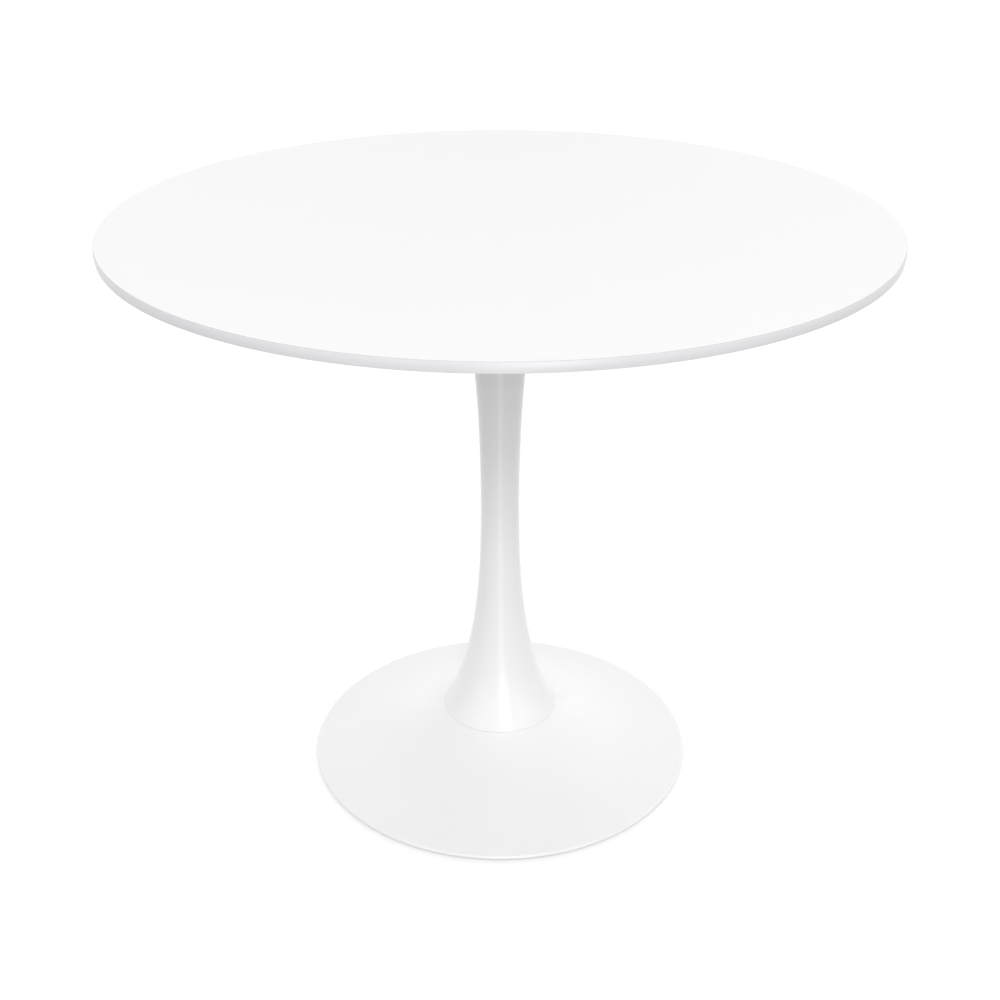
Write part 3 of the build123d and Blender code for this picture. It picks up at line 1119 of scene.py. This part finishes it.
@dataclass
class Studio:
    """A pale floor, a room of four soft walls, a key box in front and two boxes for gloss alone.

    Attributes:
        floor_size: Side of the floor, which reaches the horizon.
        floor_tone: Its colour.
        floor_glow: Light of its own that brings it to the backdrop's white.
        bounce: Even light from below.
        backdrop: Plain white seen straight behind the table.
        horizon_blur: Height over which the light from below turns to that from above.
        floor_roughness: Roughness of the floor's paint.
        camera_distance: How far in front of the column's axis the camera stands.
        camera_height: Height of the camera.
        camera_pitch: Degrees that it looks down.
        lens_mm: Focal length.
        sensor_mm: Width of the sensor.
        nearest_seen: Nearest distance that it sees.
        shift_up: Upward shift of the picture, as a share of its width.
        walls: The four sides of the room.
        boxes: The soft lights.
    """

    floor_size: float = 4000.0
    floor_tone: str = "#FFFFFF"
    floor_glow: float = 0.12
    bounce: float = 0.40
    backdrop: float = 1.05
    horizon_blur: float = 0.02
    floor_roughness: float = 0.9
    camera_distance: float = 1.629
    camera_height: float = 1.1854
    camera_pitch: float = 28.75
    lens_mm: float = 52.23
    sensor_mm: float = 36
    nearest_seen: float = 0.05
    shift_up: float = 0.0565
    walls: tuple[SoftWall, ...] = (
        SoftWall((0, -1, 0), 1.40, 0.0),
        SoftWall((0, 1, 0), 1.42, 0.80),
        SoftWall((1, 0, 0), 0.93, 0.0),
        SoftWall((-1, 0, 0), 0.74, 0.0),
    )
    boxes: tuple[SoftBox, ...] = (
        SoftBox("key_box", (0.10, -2.3, 2.2), (0, 0, 0.5), 0.6, 0.5, 15.0),
        SoftBox("low_box", (0.42, -2.4, 0.45), (0, 0, 0.6), 0.9, 0.7, 7.0, gloss_only=True),
        SoftBox("strip_box", (0.12, -2.4, -0.55), (0, 0, 0.4), 0.75, 1.5, 5.0, gloss_only=True),
    )

    def add_walls(
        self,
        tree: bpy.types.NodeTree,
        direction: bpy.types.NodeSocket,
        start: float,
        strengths: list[float],
    ) -> bpy.types.NodeSocket:
        """Adds up the light of the four walls.

        Args:
            tree: The world's node tree.
            direction: The direction that is looked along.
            start: Light that is there in every direction.
            strengths: Each wall's strength straight ahead.

        Returns:
            The strength of the light in that direction.
        """
        total = add_node(tree, "ShaderNodeMath", operation="ADD", values={0: start, 1: 0.0}).outputs[0]
        for wall, strength in zip(self.walls, strengths):
            facing = add_node(
                tree,
                "ShaderNodeVectorMath",
                operation="DOT_PRODUCT",
                values={1: wall.direction},
                links={0: direction},
            )
            share = add_node(
                tree,
                "ShaderNodeMapRange",
                values={"To Max": strength},
                links={"Value": facing.outputs["Value"]},
            )
            links = {0: total, 1: share.outputs["Result"]}
            total = add_node(tree, "ShaderNodeMath", operation="ADD", links=links).outputs[0]
        return total

    def light(self) -> None:
        """Sets the even light of the room and adds the soft boxes."""
        world = bpy.data.worlds.new("studio_room")
        bpy.context.scene.world = world
        world.use_nodes = True
        tree = world.node_tree
        tree.nodes.clear()
        direction = add_node(tree, "ShaderNodeTexCoord").outputs["Generated"]
        upper = self.add_walls(tree, direction, 0.0, [wall.above for wall in self.walls])
        lower = self.add_walls(tree, direction, self.bounce, [wall.below for wall in self.walls])
        height = add_node(tree, "ShaderNodeSeparateXYZ", links={0: direction}).outputs["Z"]
        edge = add_node(
            tree,
            "ShaderNodeMapRange",
            values={"From Min": -self.horizon_blur, "From Max": self.horizon_blur},
            links={"Value": height, "To Min": lower, "To Max": upper},
        )
        direct = add_node(tree, "ShaderNodeLightPath").outputs["Is Camera Ray"]
        seen = add_node(
            tree,
            "ShaderNodeMix",
            values={3: self.backdrop},
            links={0: direct, 2: edge.outputs["Result"]},
        )
        room = add_node(
            tree,
            "ShaderNodeBackground",
            values={"Color": (1, 1, 1, 1)},
            links={"Strength": seen.outputs[0]},
        )
        add_node(tree, "ShaderNodeOutputWorld", links={"Surface": room.outputs["Background"]})
        for box in self.boxes:
            box.build()

    def lay_floor(self) -> None:
        """Lays the floor, which throws no light back at the table."""
        bpy.ops.object.select_all(action="DESELECT")
        bpy.ops.mesh.primitive_plane_add(size=self.floor_size)
        floor = bpy.context.object
        floor.name = "studio_floor"
        paint = bpy.data.materials.new("pale_floor_paint")
        paint.use_nodes = True
        shader = paint.node_tree.nodes["Principled BSDF"]
        shader.inputs["Base Color"].default_value = linear(self.floor_tone)
        shader.inputs["Roughness"].default_value = self.floor_roughness
        shader.inputs["Emission Color"].default_value = (1, 1, 1, 1)
        shader.inputs["Emission Strength"].default_value = self.floor_glow
        dress(floor, paint)
        floor.visible_diffuse = False
        floor.visible_glossy = False
        floor.visible_shadow = False

    def place_camera(self) -> None:
        """Stands the camera in front of the table, above its top and tilted down."""
        bpy.ops.object.camera_add(location=(0, -self.camera_distance, self.camera_height))
        camera = bpy.context.object
        camera.rotation_euler = (math.radians(90 - self.camera_pitch), 0, 0)
        camera.data.sensor_width = self.sensor_mm
        camera.data.lens = self.lens_mm
        camera.data.shift_y = self.shift_up
        camera.data.clip_start = self.nearest_seen
        bpy.context.scene.camera = camera

    def build(self) -> None:
        """Sets up the tone curve, the light, the floor and the camera."""
        bpy.context.scene.view_settings.view_transform = "Standard"
        self.light()
        self.lay_floor()
        self.place_camera()


def main() -> None:
    """Builds the table's pieces, the studio and the camera."""
    logging.basicConfig(level=logging.INFO, format="%(message)s")
    lacquer = WHITE_LACQUER.material()
    white = WHITE_POWDER.material()
    black = BLACK_POWDER.material()
    zinc = ZINC.material()
    nylon = WHITE_NYLON.material()
    TableTop().build(lacquer, ARRIS_PAINTED_SHADE_LACQUER.material(), EDGE_PAINTED_SHADE_LACQUER.material())
    Column().build(white)
    BaseShell().build(white)
    SeamGasket().build(nylon)
    PlateScrews().build(zinc)
    Glides().build(zinc, nylon)
    HubCap().build(BLACK_POLYETHYLENE.material())
    PlateWork().build(black, zinc)
    Studio().build()


if __name__ == "__main__":
    main()
